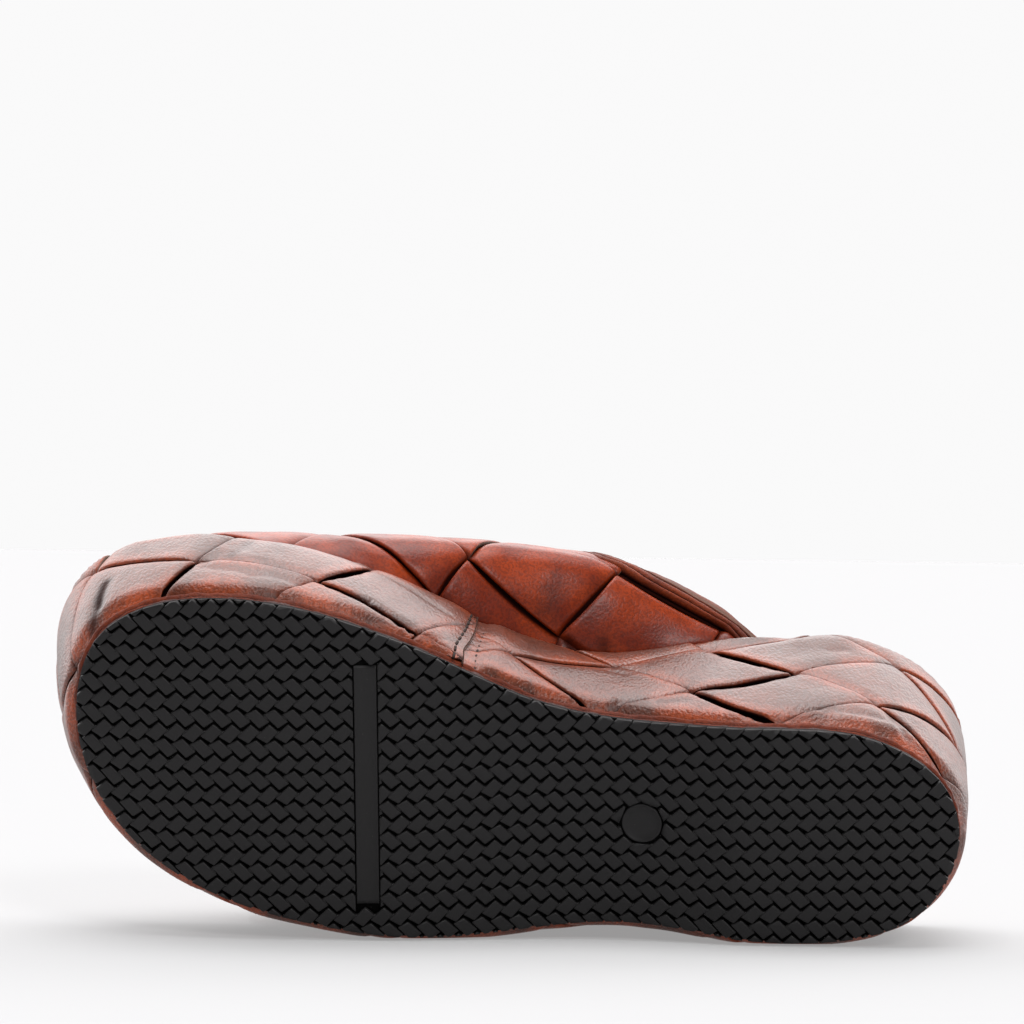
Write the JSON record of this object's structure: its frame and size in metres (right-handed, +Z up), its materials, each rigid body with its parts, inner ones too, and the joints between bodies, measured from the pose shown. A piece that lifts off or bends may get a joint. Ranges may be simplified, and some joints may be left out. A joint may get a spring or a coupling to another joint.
{
  "type": "woven wedge sandal",
  "caption": "Backless slip-on sandal: a broad vamp of crossing leather strips over a thick wedge wrapped in the same weave, with an arched rubber outsole, lying on its outer side.",
  "frame": {"origin": "bottom centre of the bounding box of the shoe as it lies on its outer side", "axes": "+X from the toe to the heel, +Y from the outsole to the vamp, +Z up, which is towards the inner side of the foot"},
  "size_m": [0.2642, 0.1206, 0.1136],
  "materials": {
    "outsole": "matte black rubber with a lozenge tread",
    "wedge": "burnished brown leather strips, semi-gloss",
    "insole": "smooth tan lining leather",
    "vamp": "burnished orange-brown leather strips, semi-gloss",
    "topline_binding": "folded brown leather strip",
    "toe_binding": "folded brown leather strip"
  },
  "bodies": {
    "root": {"outsole": "outsole", "wedge": "wedge", "insole": "insole", "vamp": "vamp", "topline_binding": "topline_binding", "toe_binding": "toe_binding"}
  },
  "joints": []
}
